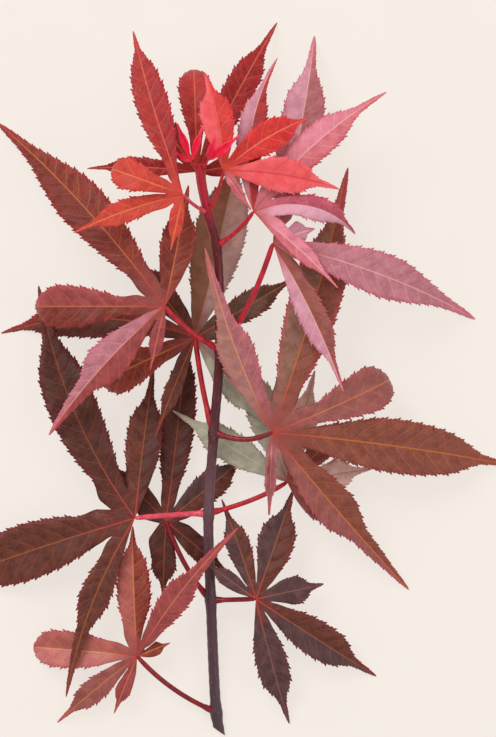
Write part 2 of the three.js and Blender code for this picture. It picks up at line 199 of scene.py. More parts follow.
def leaf_tissue(name, blade_hex, vein_hex, patch_hex, fork_hex, blush_hex):
    material, tree, skin, place = new_material(name)
    midrib, side, from_vein = vein_masks(tree, place)
    net = soft_step(tree, cell_edges(tree, place, NET_SIZE), *NET_SPAN)
    reach, outwards = two_of(tree, "reach")
    mottle = noise(tree, place, MOTTLE_SIZE, 4.0)

    colour = mix_colour(tree, soft_step(tree, mottle, *MOTTLE_SPAN), linear(patch_hex), linear(blade_hex))
    zones = [(reach, FORK_SPAN, fork_hex), (reach, TIP_BLUSH_SPAN, blush_hex)]
    zones.append((outwards, MARGIN_BLUSH_SPAN, blush_hex))
    for distance, span, zone_hex in zones:
        colour = mix_colour(tree, soft_step(tree, distance, *span), colour, linear(zone_hex))
    turning = soft_step(tree, reach, *VEIN_HEX_SPAN)
    vein = mix_colour(tree, turning, linear(FORK_VEIN_HEX), linear(vein_hex))
    colour = mix_colour(tree, fine_veins(tree, side, SIDE_VEIN_SHARE, net, NET_SHARE), colour, vein)
    fading = maths(tree, "MULTIPLY", midrib, soft_step(tree, reach, *MIDRIB_FADE_SPAN))
    colour = mix_colour(tree, fading, colour, vein)

    pillow = maths(tree, "MULTIPLY", soft_step(tree, from_vein, 0.0, SIDE_VEIN_PITCH / 2), PILLOW_HEIGHT)
    grain = maths(tree, "MULTIPLY", cell_edges(tree, place, FINEST_VEIN_SIZE), GRAIN_HEIGHT)
    sunk = maths(tree, "ADD", midrib, maths(tree, "MULTIPLY", net, NET_DEPTH))
    height = maths(tree, "SUBTRACT", maths(tree, "ADD", pillow, grain), sunk)
    normal = relief(tree, height, *LEAF_RELIEF)
    roughness = soft_step(tree, mottle, *LEAF_ROUGHNESS_SPAN)
    feed(tree, skin, {"Base Color": colour, "Normal": normal, "Roughness": roughness, "IOR": WAX_IOR})
    return material


# %% [markdown]
# Tints
#
# The shoot goes from umber at its old leaves to scarlet at its tip. The halves of a lobe get their own
# tints, and these carry painted light: lilac is the sky's reflection painted onto a half that faces the
# sky, and a darker tint is painted shade on a half that faces away. Each tint has a blade colour, a vein
# colour, the patches of its mottle, the colour it turns to at the fork, and the blush of its tip. Most
# tints that meet in one leaf share a fork colour or nearly, which hides the seam where lobes join.

# %% Tints
OLD_FORK, MIDDLE_FORK, GREY_FORK = "#5E3029", "#8C4841", "#957C74"
LILAC_FORK, CRIMSON_FORK, ORANGE_FORK = "#B8646A", "#A02A2C", "#D2463C"
TINTS = {
    "dusk": ("#56271F", "#8E4A2E", "#482019", OLD_FORK, "#7A2A34"),
    "umber": ("#673328", "#A0562F", "#562820", OLD_FORK, "#8A3038"),
    "plum": ("#5C3C3E", "#86584E", "#4C3032", OLD_FORK, "#74343C"),
    "olive": ("#66493A", "#A8653A", "#563A2D", "#63392C", "#963444"),
    "tan": ("#A07058", "#A8653A", "#8C6048", "#63392C", "#8A4A40"),
    "grey_green": ("#B4B2A0", "#C8C4B0", "#A2A08C", GREY_FORK, "#A07A70"),
    "fawn": ("#C8A29C", "#8E7448", "#B8928A", "#63392C", "#B08482"),
    "pale_rose": ("#E4BEB6", "#B4946C", "#D4ACA4", "#63392C", "#C49494"),
    "ash": ("#A58787", "#BCA09A", "#957676", GREY_FORK, "#B06A6E"),
    "cinnamon": ("#94695E", "#C8702E", "#80584C", MIDDLE_FORK, "#C8465A"),
    "dusty_rose": ("#AC7672", "#CE8840", "#9A6662", MIDDLE_FORK, "#B85A66"),
    "brick": ("#8A4A3D", "#C8702E", "#7A3E33", MIDDLE_FORK, "#9C4642"),
    "chestnut": ("#8A4A3D", "#C8702E", "#7A3E33", MIDDLE_FORK, "#C8465A"),
    "rosewood": ("#9A5754", "#CC7448", "#8A4A48", MIDDLE_FORK, "#BC5466"),
    "russet": ("#8E352B", "#CE7C42", "#7C2C24", MIDDLE_FORK, "#A8303C"),
    "maroon": ("#7E3029", "#BC6238", "#6C2620", MIDDLE_FORK, "#A02C38"),
    "salmon": ("#B8605A", "#D08A50", "#A45450", MIDDLE_FORK, "#C05060"),
    "blush": ("#D07A76", "#DCA070", "#BC6A68", MIDDLE_FORK, "#CC6070"),
    "raspberry": ("#9E4647", "#CC7058", "#8C3A3E", MIDDLE_FORK, "#C04450"),
    "mauve": ("#B0686E", "#D8948A", "#9E585F", MIDDLE_FORK, "#CC5C6C"),
    "heather": ("#C47C8A", "#E4A8A4", "#B26C7A", LILAC_FORK, "#D4647A"),
    "orchid": ("#ECACC0", "#F4C8D0", "#DE9CB2", LILAC_FORK, "#E47C92"),
    "pink": ("#E68A9C", "#F4B4B8", "#D87A8E", LILAC_FORK, "#D45C74"),
    "cerise": ("#D0647A", "#EC9CA0", "#BC5068", LILAC_FORK, "#CC2C48"),
    # lilac is the sky's reflection, painted onto halves of lobes that face the sky
    "lilac": ("#D898AA", "#ECC0C0", "#C8869A", LILAC_FORK, "#CC6478"),
    "rose": ("#D87482", "#F0A8A0", "#C86472", LILAC_FORK, "#CE4C60"),
    "cherry": ("#B43232", "#DC6A50", "#A02A2A", ORANGE_FORK, "#B43A48"),
    "wine": ("#AC2A2E", "#D46A54", "#982226", CRIMSON_FORK, "#C42E3C"),
    "crimson": ("#A01E20", "#D06450", "#8C181A", CRIMSON_FORK, "#A23244"),
    "scarlet": ("#D82E2C", "#EE7A60", "#C22626", ORANGE_FORK, "#E43646"),
    "coral": ("#EE6064", "#D23A44", "#E25258", ORANGE_FORK, "#F47480"),
    "vermilion": ("#D24438", "#E87C52", "#C03A30", ORANGE_FORK, "#D04040"),
    "young": ("#FF2E54", "#FF5074", "#F02048", "#F02048", "#FF486C"),
}
tissues = {name: leaf_tissue("leaf_tissue_" + name, *hexes) for name, hexes in TINTS.items()}
print("leaf tints:", len(tissues))

# %% [markdown]
# Undersides
#
# Underneath, the same leaf is paler and matt, because the lower skin has little wax, and its veins
# stand proud instead of lying in grooves. It shows from the side and wherever a lobe curls. Three
# undersides, one for each age of leaf, use the blade's own vein maps.

# %% Undersides
UNDER_NET_SPAN = (0.02, 0.08, 1.0, 0.0)
UNDER_SIDE_VEIN_SHARE, UNDER_NET_SHARE = 0.6, 0.25
UNDER_RELIEF = (0.5, 0.12)
UNDER_ROUGHNESS = 0.62


def leaf_underside(name, hex_colour, vein_hex):
    material, tree, skin, place = new_material(name)
    midrib, side, _ = vein_masks(tree, place)
    net = soft_step(tree, cell_edges(tree, place, NET_SIZE), *UNDER_NET_SPAN)
    fine = fine_veins(tree, side, UNDER_SIDE_VEIN_SHARE, net, UNDER_NET_SHARE)
    every = maths(tree, "MAXIMUM", midrib, fine)
    colour = mix_colour(tree, every, linear(hex_colour), linear(vein_hex))
    normal = relief(tree, every, *UNDER_RELIEF)
    feed(tree, skin, {"Base Color": colour, "Normal": normal, "Roughness": UNDER_ROUGHNESS, "IOR": WAX_IOR})
    return material


UNDERSIDES = {
    "old_leaf": leaf_underside("leaf_underside_old", "#77524C", "#9A6A5C"),
    "middle_leaf": leaf_underside("leaf_underside_middle", "#9C5F5C", "#C08070"),
    "new_leaf": leaf_underside("leaf_underside_new", "#CC5A58", "#E88A7C"),
}
print("undersides:", len(UNDERSIDES))

# %% [markdown]
# The skin of stem and stalks
#
# A young maple stem isn't barked yet: it has a smooth dark skin under a faint bloom, finely ribbed
# along its length, and it turns from purple brown where it is oldest to crimson at the growing tip.
# The ribs are modelled, so the shader only adds the change of colour along the stem, a bloom in
# streaks, and grain too fine to model. Stalks are the same skin, redder and glossier.

# %% Stem and stalk skin
SKIN_IOR = 1.4
LEAVES_PAST_TIP = 38
STEM_STOPS = {0: "#48323A", 0.3: "#4E303A", 0.42: "#64444C", 0.52: "#4E1C24"}
STEM_STOPS.update({0.78: "#540A15", 0.875: "#620C17", 0.93: "#B01A34", 1: "#AC1C2C"})
BLOOM_HEX = "#8A5A68"
BLOOM_STREAK, BLOOM_SPAN = (9.0, 1.2), (0.5, 0.75, 0.0, 0.2)
STALK_STREAK, STALK_SPAN = (3.0, 0.9), (0.38, 0.66)
STEM_GRAIN, STEM_RELIEF, STEM_ROUGHNESS = 0.4, (0.3, 0.05), 0.38
STALK_GRAIN, STALK_RELIEF, STALK_ROUGHNESS = 0.3, (0.2, 0.03), 0.32
SPECKLE_SPAN = (0.35, 0.65)


def streaked(tree, place, length, width):
    squeezed = add_node(tree, "ShaderNodeMapping", inputs={"Vector": place, "Scale": (1, width / length, 1)})
    return noise(tree, squeezed.outputs[0], width, 4.0)


def grainy_skin(tree, skin, place, colour, grain_size, grain_relief, roughness):
    normal = relief(tree, noise(tree, place, grain_size, 2.0), *grain_relief)
    feed(tree, skin, {"Base Color": colour, "Normal": normal, "Roughness": roughness, "IOR": SKIN_IOR})


def stem_skin():
    material, tree, skin, place = new_material("maple_stem_skin")
    height = add_node(tree, "ShaderNodeSeparateXYZ", inputs={0: place}).outputs["Y"]
    low_end, high_end = solid_bounds[0][1], solid_bounds[1][1] - LEAVES_PAST_TIP * MM
    inputs = {"Value": height, "From Min": low_end, "From Max": high_end}
    share = add_node(tree, "ShaderNodeMapRange", inputs=inputs).outputs["Result"]
    ramp = add_node(tree, "ShaderNodeValToRGB", inputs={0: share})
    while len(ramp.color_ramp.elements) < len(STEM_STOPS):
        ramp.color_ramp.elements.new(1.0)
    for element, (position, hex_colour) in zip(ramp.color_ramp.elements, STEM_STOPS.items()):
        element.position = position
        element.color = linear(hex_colour)
    bloom = soft_step(tree, streaked(tree, place, *BLOOM_STREAK), *BLOOM_SPAN)
    colour = mix_colour(tree, bloom, ramp.outputs[0], linear(BLOOM_HEX))
    grainy_skin(tree, skin, place, colour, STEM_GRAIN, STEM_RELIEF, STEM_ROUGHNESS)
    return material


def stalk_skin(name, hex_colour, shade_hex):
    material, tree, skin, place = new_material(name)
    share = soft_step(tree, streaked(tree, place, *STALK_STREAK), *STALK_SPAN)
    colour = mix_colour(tree, share, linear(shade_hex), linear(hex_colour))
    grainy_skin(tree, skin, place, colour, STALK_GRAIN, STALK_RELIEF, STALK_ROUGHNESS)
    return material


def speckled(name, hex_colour, shade_hex, grain_size, roughness):
    material, tree, skin, place = new_material(name)
    share = soft_step(tree, noise(tree, place, grain_size, 3.0), *SPECKLE_SPAN)
    colour = mix_colour(tree, share, linear(shade_hex), linear(hex_colour))
    feed(tree, skin, {"Base Color": colour, "Roughness": roughness})
    return material


STEM_SKIN = stem_skin()
STALKS = {
    "bright": stalk_skin("maple_stalk_bright", "#C81E30", "#A01828"),
    "dark": stalk_skin("maple_stalk_dark", "#981C2A", "#76131E"),
    "pink": stalk_skin("maple_stalk_pink", "#E4566A", "#CC4054"),
}
LENTICEL = speckled("maple_lenticel_cork", "#A88A86", "#8C6E6C", 0.2, 0.75)
CUT_WOOD = speckled("maple_cut_wood", "#DCC9A2", "#C8AE82", 0.3, 0.7)
print("skins:", 1 + len(STALKS), "and cork, cut wood")

# %% [markdown]
# The stem's line
#
# The stem runs through the cut and the nodes where leaf pairs grow, on the smooth curve that the
# solids use: a centripetal Catmull-Rom spline, which passes through every point without overshoot.
# Sizes are millimetres from the middle of the cut face. Each limb is walked at even steps.

# %% The stem's line
CUT_RADIUS = 1.5
TIP_RADIUS = 1.15
TAPER_POWER = 1.3
CUT_SLANT = math.radians(35)
NODE_SWELLING = 0.35
NODE_SWELLING_REACH = 3.0
SPAN_STEPS = 60
STEM_STEPS = 400
STEM_LINE = [
    (0.3, -2, CUT_RADIUS),
    (0, 0, CUT_RADIUS),
    (-0.8, 5.4, 2),
    (-2.2, 36.8, 6),
    (-2.9, 61.2, 11),
    (-1.4, 83.8, 15),
    (0.3, 106.9, 19),
    (-0.6, 135.6, 24),
    (-3, 144.6, 26),
    (-5.1, 156, 28.2),
    (-5.3, 158, 28.8),
]
NODES = np.array(STEM_LINE[2:10], float)


def centripetal(points):
    points = np.array(points, float)
    padded = np.vstack([2 * points[0] - points[1], points, 2 * points[-1] - points[-2]])
    curve = []
    for k in range(1, len(padded) - 2):
        p0, p1, p2, p3 = padded[k - 1 : k + 3]
        gaps = [math.sqrt(np.linalg.norm(b - a)) for a, b in ((p0, p1), (p1, p2), (p2, p3))]
        start = ((p1 - p0) / gaps[0] - (p2 - p0) / (gaps[0] + gaps[1]) + (p2 - p1) / gaps[1]) * gaps[1]
        end = ((p2 - p1) / gaps[1] - (p3 - p1) / (gaps[1] + gaps[2]) + (p3 - p2) / gaps[2]) * gaps[1]
        for t in np.linspace(0, 1, SPAN_STEPS, endpoint=False):
            square, cube = t * t, t**3
            curve.append(
                (2 * cube - 3 * square + 1) * p1
                + (cube - 2 * square + t) * start
                + (3 * square - 2 * cube) * p2
                + (cube - square) * end
            )
    return np.array([*curve, points[-1]])


def columns_at(wanted, known, values):
    return np.column_stack([np.interp(wanted, known, values[:, axis]) for axis in range(3)])


def evenly(points, count):
    lengths = np.concatenate([[0], np.cumsum(np.linalg.norm(np.diff(points, axis=0), axis=1))])
    return columns_at(np.linspace(0, lengths[-1], count), lengths, points)


stem_points = evenly(centripetal(STEM_LINE), STEM_STEPS)
shares = np.linspace(0, 1, len(stem_points))
nearest = np.min(np.linalg.norm(stem_points[:, None] - NODES[None], axis=2), axis=1)
collar = NODE_SWELLING * np.clip(1 - nearest / NODE_SWELLING_REACH, 0, 1)
stem_radii = CUT_RADIUS + (TIP_RADIUS - CUT_RADIUS) * shares**TAPER_POWER + collar
print("stem length, mm:", round(float(np.sum(np.linalg.norm(np.diff(stem_points, axis=0), axis=1))), 1))

# %% [markdown]
# A limb along a line, by Geometry Nodes
#
# Stem and stalks are the same thing at two sizes: a round limb that follows a line and changes its
# girth on the way. Curve to Mesh does this for any line, so one small node tree serves them all. Its
# points carry their radius as an attribute, and the result is turned into a plain mesh.


# %% Limb tree
def new_object(name, data):
    made = bpy.data.objects.new(name, data)
    scene.collection.objects.link(made)
    return made


def new_tree(name, entries, result):
    tree = bpy.data.node_groups.new(name, "GeometryNodeTree")
    for label, kind in entries.items():
        tree.interface.new_socket(label, in_out="INPUT", socket_type="NodeSocket" + kind)
    tree.interface.new_socket(result, in_out="OUTPUT", socket_type="NodeSocketGeometry")
    return tree, add_node(tree, "NodeGroupInput").outputs


def set_skin(tree, geometry, skin):
    inputs = {"Geometry": geometry, "Material": skin}
    return add_node(tree, "GeometryNodeSetMaterial", inputs=inputs).outputs[0]


def limb_tree():
    entries = {"Line": "Geometry", "Sides": "Int", "Skin": "Material"}
    tree, entry = new_tree("limb_along_a_line", entries, "Limb")
    girth = add_node(tree, "GeometryNodeInputNamedAttribute", {"data_type": "FLOAT"}, {"Name": "girth"})
    curve = add_node(tree, "GeometryNodeMeshToCurve", inputs={"Mesh": entry["Line"]})
    inputs = {"Resolution": entry["Sides"], "Radius": 1.0}
    section = add_node(tree, "GeometryNodeCurvePrimitiveCircle", inputs=inputs)
    inputs = {"Curve": curve.outputs[0], "Profile Curve": section.outputs[0]}
    inputs.update({"Scale": girth.outputs[0], "Fill Caps": True})
    limb = add_node(tree, "GeometryNodeCurveToMesh", inputs=inputs)
    add_node(tree, "NodeGroupOutput", inputs={0: set_skin(tree, limb.outputs[0], entry["Skin"])})
    return tree


LIMB_TREE = limb_tree()


def plain_mesh(holder):
    bpy.context.view_layer.update()
    evaluated = holder.evaluated_get(bpy.context.evaluated_depsgraph_get())
    mesh = bpy.data.meshes.new_from_object(evaluated)
    bpy.data.objects.remove(holder)
    return mesh


def grown(name, mesh, tree, inputs):
    holder = new_object(name, mesh)
    modifier = holder.modifiers.new("grown", "NODES")
    modifier.node_group = tree
    sockets = {i.name: i.identifier for i in tree.interface.items_tree if i.in_out == "INPUT"}
    for label, value in inputs.items():
        modifier[sockets[label]] = value
    return plain_mesh(holder)


def limb_mesh(name, points, radii, sides, skin):
    line = bpy.data.meshes.new(name + "_line")
    edges = [(k, k + 1) for k in range(len(points) - 1)]
    line.from_pydata([tuple(p) for p in points], edges, [])
    girth = line.attributes.new("girth", "FLOAT", "POINT")
    girth.data.foreach_set("value", np.array(radii, np.float32))
    return grown(name + "_line", line, LIMB_TREE, {"Sides": sides, "Skin": skin})


# %% [markdown]
# Stem with its relief
#
# On the real shoot the stem is finely ribbed between its nodes, with a ring-shaped scar round each
# node, and it ends in a slanting pruning cut. The limb above is smooth, so its vertices are pushed in
# and out here: five shallow ribs that twist slowly, a slight waver, and a crease above each collar.
# A plane cuts the foot, and the open end is filled with pale wood inside a thin rim of skin.

# %% Stem
STEM_SIDES = 28
RIB_COUNT = 5
RIB_DEPTH = 0.045
RIB_TWIST_LENGTH = 60
WAVER_DEPTH = 0.03
WAVER_PER_MM = 1.9
SCAR_DEPTH = 0.12
SCAR_HALF_WIDTH = 0.35
SCAR_PAST_NODE = 1.2
CUT_RIM = 0.25
NO_RADIUS = 1e-6


def corners_of(mesh):
    return np.array([v.co for v in mesh.vertices])


def shaped_stem():
    mesh = limb_mesh("stem", stem_points, stem_radii, STEM_SIDES, STEM_SKIN)
    co = corners_of(mesh)
    nearest_point = np.argmin(np.linalg.norm(co[:, None] - stem_points[None], axis=2), axis=1)
    axis = stem_points[nearest_point]
    out = co - axis
    radius = np.linalg.norm(out, axis=1)
    around = np.arctan2(out[:, 2], out[:, 0])
    along = axis[:, 1]
    to_scar = np.min(np.abs(along[:, None] - (NODES[None, :, 1] + SCAR_PAST_NODE)), axis=1)
    raised = RIB_DEPTH * np.cos(RIB_COUNT * (around + along / RIB_TWIST_LENGTH))
    raised += WAVER_DEPTH * np.sin(along * WAVER_PER_MM + 2 * around)
    raised -= SCAR_DEPTH * np.clip(1 - to_scar / SCAR_HALF_WIDTH, 0, 1)
    scale = np.where(radius < NO_RADIUS, 1, (radius + raised) / np.maximum(radius, NO_RADIUS))
    mesh.vertices.foreach_set("co", (axis + out * scale[:, None]).ravel())
    mesh.materials.append(CUT_WOOD)
    body = bmesh.new()
    body.from_mesh(mesh)
    normal = (-math.sin(CUT_SLANT), -math.cos(CUT_SLANT), 0)
    everything = [*body.verts, *body.edges, *body.faces]
    cut = bmesh.ops.bisect_plane(body, geom=everything, plane_no=normal, clear_outer=True)
    rim = [e for e in cut["geom_cut"] if isinstance(e, bmesh.types.BMEdge)]
    for face in bmesh.ops.contextual_create(body, geom=rim)["faces"]:
        face.material_index = 1
        for rim_face in bmesh.ops.inset_individual(body, faces=[face], thickness=CUT_RIM)["faces"]:
            rim_face.material_index = 0
    bmesh.ops.recalc_face_normals(body, faces=body.faces)
    body.to_mesh(mesh)
    body.free()
    return mesh


stem_mesh = shaped_stem()
stem_corners = corners_of(stem_mesh)
low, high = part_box("stem")
solid_middle = (np.array(low) + np.array(high)) / 2 / MM
own_middle = (stem_corners.min(0) + stem_corners.max(0)) / 2
CUT_PLACE = Vector([*(solid_middle - own_middle)[:2], 0])
print("middle of the cut, mm:", [round(c, 2) for c in CUT_PLACE])

# %% [markdown]
# Lenticels, scattered by Geometry Nodes
#
# The stem is dotted with lenticels, corky pores a third of a millimetre long. They have no pattern,
# so a seeded tree scatters them over the skin, each a small flattened ball, realized into the mesh.

# %% Lenticels
LENTICEL_LENGTH = 0.34
LENTICEL_SHAPE = {0: 0.55, 1: 1.0, 2: 0.3}
LENTICELS_PER_SQUARE_MM = 0.07
LENTICEL_SEED = 7


def lenticel_tree():
    entries = {"Stem": "Geometry", "Density": "Float", "Seed": "Int", "Length": "Float", "Cork": "Material"}
    tree, entry = new_tree("scattered_lenticels", entries, "Dotted")
    inputs = {"Mesh": entry["Stem"], "Density": entry["Density"], "Seed": entry["Seed"]}
    points = add_node(tree, "GeometryNodeDistributePointsOnFaces", inputs=inputs).outputs
    ball = add_node(tree, "GeometryNodeMeshIcoSphere", inputs={"Radius": 0.5, "Subdivisions": 1})
    flat = add_node(tree, "ShaderNodeCombineXYZ", inputs=LENTICEL_SHAPE)
    inputs = {0: flat.outputs[0], "Scale": entry["Length"]}
    sized = add_node(tree, "ShaderNodeVectorMath", {"operation": "SCALE"}, inputs)
    inputs = {"Points": points["Points"], "Rotation": points["Rotation"]}
    inputs.update({"Instance": ball.outputs["Mesh"], "Scale": sized.outputs[0]})
    dots = add_node(tree, "GeometryNodeInstanceOnPoints", inputs=inputs)
    real = add_node(tree, "GeometryNodeRealizeInstances", inputs={0: dots.outputs[0]})
    both = add_node(tree, "GeometryNodeJoinGeometry")
    for geometry in (set_skin(tree, real.outputs[0], entry["Cork"]), entry["Stem"]):
        tree.links.new(geometry, both.inputs[0])
    add_node(tree, "NodeGroupOutput", inputs={0: both.outputs[0]})
    return tree


def dotted(mesh):
    inputs = {"Density": LENTICELS_PER_SQUARE_MM, "Seed": LENTICEL_SEED}
    inputs.update({"Length": LENTICEL_LENGTH, "Cork": LENTICEL})
    return grown("stem_skin", mesh, lenticel_tree(), inputs)


stem_mesh = dotted(stem_mesh)
print("stem triangles with lenticels:", sum(len(p.vertices) - 2 for p in stem_mesh.polygons))


# %% [markdown]
# Placing a finished mesh
#
# Everything is shaped in millimetres from the middle of the cut. A finished piece is scaled to
# metres and moved to its place inside its own mesh, so its object stays at the origin, rides on the
# shoot's one body and stands for its solid.


# %% Placing a piece
def place_piece(name, mesh, node):
    mesh.name = name
    mesh.transform(Matrix.Scale(MM, 4) @ Matrix.Translation(CUT_PLACE))
    mesh.shade_smooth()
    piece = new_object(name, mesh)
    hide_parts(node)
    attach(piece, "root")
    return piece


place_piece("maple_stem", stem_mesh, "stem")

# %% [markdown]
# The leaves' sizes
#
# Every leaf is a fork, where stalk and midribs meet, and a fan of lobes round it. A lobe is given by
# its midrib's heading, how far that turns, its length and width, its slope at fork and tip, and the
# tints of its left and right half, each a real colour with that half's sky reflection or shade painted
# in. A leaf has the pair it belongs to, its fork's place, its stalk's radius and skin, and its slot.
# These are the solids' own sizes.

# %% Leaves
USUAL_FOLD = 14
CREASED = {"fold": 22}
FOLDED = {"fold": 55}
CURLED_UNDER = {"hook": 3, "base_power": 1.8, "tip_power": 0.9}
BLUNT_UNDER = {"hook": 3, "base_power": 0.9, "tip_power": 0.7}
EARLY_TAIL = {"tail_start": 0.45}
LATE_TAIL = {"tail_start": 0.72}
SLOW_TAIL = {"tail_start": 0.45, "tail_reach": 0.35}
WIDEST_LATE = {"base_power": 1.8, "tip_power": 1.5, "tail_start": 0.74}


def lobe(heading, turn, length, width, slope, tip_slope, tints, odd=None):
    left, right = tints.split(",") if "," in tints else (tints, tints)
    usual = {"fold": USUAL_FOLD, "roll": 0, "hook": 1, "base_power": 1.3, "tip_power": 1.3}
    usual.update({"tail_start": 0.62, "tail_reach": 0.2})
    own = {"heading": heading, "turn": turn, "length": length, "width": width, "slope": slope}
    return {**own, "tip_slope": tip_slope, "left": left, "right": right, **usual, **(odd or {})}


def leaf_of(pair, fork, stalk, skin, slot, lobes, bend=None):
    own = {"pair": pair, "fork": np.array(fork, float), "stalk": stalk, "skin": skin, "bend": bend}
    return {**own, "slot": slot, "lobes": [lobe(*sizes) for sizes in lobes]}


LEAVES = {
    "leaf_1_left": leaf_of(1, (-22.8, 21.2, 8), 0.7, "dark", "middle_leaf", [
        (22, 0, 10, 4, 0, -10, "russet"),
        (60, -16, 47, 7.8, 22, -4, "raspberry", EARLY_TAIL),
        (94, -4, 36.5, 9, 6, -10, "salmon,russet", LATE_TAIL),
        (173, 6, 37, 10, 0, -110, "blush,salmon", BLUNT_UNDER),
        (217, 6, 30.5, 6.2, -4, -24, "rosewood"),
        (247, 2, 18, 4.5, -6, -20, "raspberry", CREASED),
    ]),
    "leaf_2_left": leaf_of(2, (-14.8, 58.9, 5), 0.7, "dark", "old_leaf", [
        (-40, 0, 23.5, 6.2, 0, -12, "dusk"),
        (38, 2, 30.5, 7.8, -4, -8, "plum,umber"),
        (82, 4, 55, 9, 0, -8, "dusk", LATE_TAIL),
        (134, 2, 24.5, 6.2, -4, -14, "dusk"),
        (266, 4, 22, 6.7, 0, -14, "dusk"),
    ]),
    "leaf_2_right": leaf_of(2, (10.3, 37.3, 12), 0.7, "dark", "old_leaf", [
        (-77, 4, 38.5, 8.4, -4, -30, "plum"),
        (-34, 2, 42.5, 9.8, -4, -30, "umber,plum"),
        (12, 0, 20.5, 7.8, -4, -30, "plum"),
        (70, 2, 32.5, 9.8, -2, -14, "plum,umber"),
        (107, 4, 30, 6.2, -6, -16, "plum,umber"),
        (144, 0, 18, 4.5, 6, -2, "plum"),
    ]),
    "leaf_3_left": leaf_of(3, (-23.4, 59.8, 12), 0.75, "pink", "old_leaf", [
        (84, -2, 43.5, 9.5, -6, -20, "umber,dusk"),
        (126, -27, 71.5, 13.4, 0, -12, "dusk"),
        (196, 6, 65, 15.4, -4, -30, "umber"),
        (238, 22, 54, 8.4, 0, -6, "umber", EARLY_TAIL),
    ]),
    "leaf_3_right": leaf_of(3, (19, 69.8, 9.5), 0.7, "bright", "old_leaf", [
        (-42, 0, 20.5, 5.6, -4, -20, "rosewood"),
        (9, 0, 24.5, 8.4, -2, -16, "pale_rose"),
        (44, 0, 23, 6.2, -2, -14, "rosewood"),
        (76, 0, 32.5, 8.4, -2, -12, "pale_rose"),
        (108, 2, 41, 9, -2, -8, "grey_green"),
        (148, 0, 38, 8.4, -2, -10, "grey_green"),
    ]),
    "leaf_4_left": leaf_of(4, (-6.6, 110.1, 12), 0.75, "bright", "old_leaf", [
        (-52, 2, 33, 7.3, 2, -8, "ash,grey_green"),
        (31, 0, 34.5, 7.3, 0, -10, "olive"),
        (76, 2, 58, 14, 2, -10, "tan,fawn"),
        (127, 2, 31, 7.3, -2, -14, "umber"),
        (159, 40, 57.5, 10.5, -6, -22, "umber,maroon", LATE_TAIL),
        (205, 0, 36, 10.8, 2, -100, "russet", CURLED_UNDER),
        (246, 4, 30, 4.5, 0, -6, "umber", CREASED),
    ]),
    "leaf_4_right": leaf_of(4, (14.8, 83.8, 20), 0.75, "dark", "middle_leaf", [
        (-92, 0, 24, 4.6, -8, -20, "mauve", FOLDED),
        (-51, 4, 62, 11.4, -6, -30, "brick,rosewood", EARLY_TAIL),
        (-5, -6, 71, 14.8, 0, -35, "brick", LATE_TAIL),
        (21, 8, 50, 12.6, 2, -150, "rosewood", CURLED_UNDER),
        (70, 8, 78.5, 14, 0, -20, "cinnamon,chestnut"),
        (117, -14, 55, 10, 12, -4, "dusty_rose,mauve", EARLY_TAIL),
    ], bend=(7.5, 79.8, 17.5)),
    "leaf_5_left": leaf_of(5, (-14.9, 118.7, 27), 0.75, "bright", "middle_leaf", [
        (78, 2, 34.5, 9, 0, -10, "maroon,russet"),
        (126, 14, 80, 13, 4, -52, "maroon,russet", SLOW_TAIL),
        (180, 0, 43, 11.5, 0, -90, "maroon,raspberry", CURLED_UNDER),
        (220, 16, 50.5, 11, -4, -26, "raspberry,heather", EARLY_TAIL),
        (256, 2, 18.5, 4, -4, -14, "raspberry", CREASED),
    ]),
    "leaf_5_right": leaf_of(5, (15, 136.2, 27), 0.75, "bright", "middle_leaf", [
        (-58, -13, 46, 7.4, -2, -10, "rosewood,lilac"),
        (-12, -18, 70, 12, 4, -54, "heather", SLOW_TAIL),
        (25, -12, 13.5, 6.5, -2, -40, "lilac"),
        (74, 10, 68, 11.4, 0, -50, "lilac,mauve"),
    ]),
    "leaf_6_left": leaf_of(6, (-6.1, 156.1, 18), 0.6, "bright", "new_leaf", [
        (10, 0, 14, 5, 0, -10, "crimson"),
        (64, -4, 52, 8.2, 0, -40, "crimson"),
        (91, 2, 36, 8.4, 4, -110, "cherry", CURLED_UNDER),
        (125, 2, 27.5, 5.6, -2, -20, "crimson"),
        (172, 12, 33, 5.2, 0, -36, "crimson"),
    ]),
    "leaf_6_right": leaf_of(6, (9.6, 144.8, 31), 0.65, "bright", "new_leaf", [
        (-36, -12, 32, 4.8, -2, -12, "pink,rose", CREASED),
        (22, -76, 37, 6.6, 4, -60, "cerise,orchid", {"roll": 40}),
        (54, -24, 51, 8.9, -7, -12, "pink,rose"),
        (102, -42, 44.5, 7, -4, -8, "lilac,wine"),
    ]),
    "leaf_7_left": leaf_of(7, (-9.7, 149.4, 38), 0.5, "pink", "new_leaf", [
        (111, -8, 49, 8.8, 2, -24, "cherry,wine", WIDEST_LATE),
        (160, 0, 27, 8.4, 16, -130, "vermilion", CURLED_UNDER),
        (192, 14, 33.5, 6, -4, -24, "vermilion"),
        (256, 2, 16.5, 3.8, -8, -24, "vermilion"),
    ]),
    "leaf_7_right": leaf_of(7, (1.4, 156.1, 33.5), 0.5, "bright", "new_leaf", [
        (-56, 2, 13.5, 3.6, -10, -16, "rose", FOLDED),
        (1, -20, 33, 9.2, 5, -20, "coral"),
        (43, -22, 28.5, 8.5, 8, -30, "scarlet", WIDEST_LATE),
        (93, 16, 29, 8.6, 6, -30, "coral,scarlet"),
    ]),
    "young_leaf_left": leaf_of(8, (-7.6, 158.6, 31.2), 0.35, "bright", "new_leaf", [
        (72, 0, 10.5, 3, 26, 10, "young", FOLDED),
        (109, 2, 11.5, 3, 14, 4, "young", FOLDED),
        (150, 0, 5, 2.6, 10, 0, "young", FOLDED),
    ]),
    "young_leaf_right": leaf_of(8, (-3, 158.9, 33.5), 0.35, "bright", "new_leaf", [
        (34, 8, 13, 3.6, 44, 20, "young", FOLDED),
        (72, 0, 9, 3, 50, 30, "young", FOLDED),
    ]),
}
print("leaves:", len(LEAVES), "lobes:", sum(len(leaf["lobes"]) for leaf in LEAVES.values()))

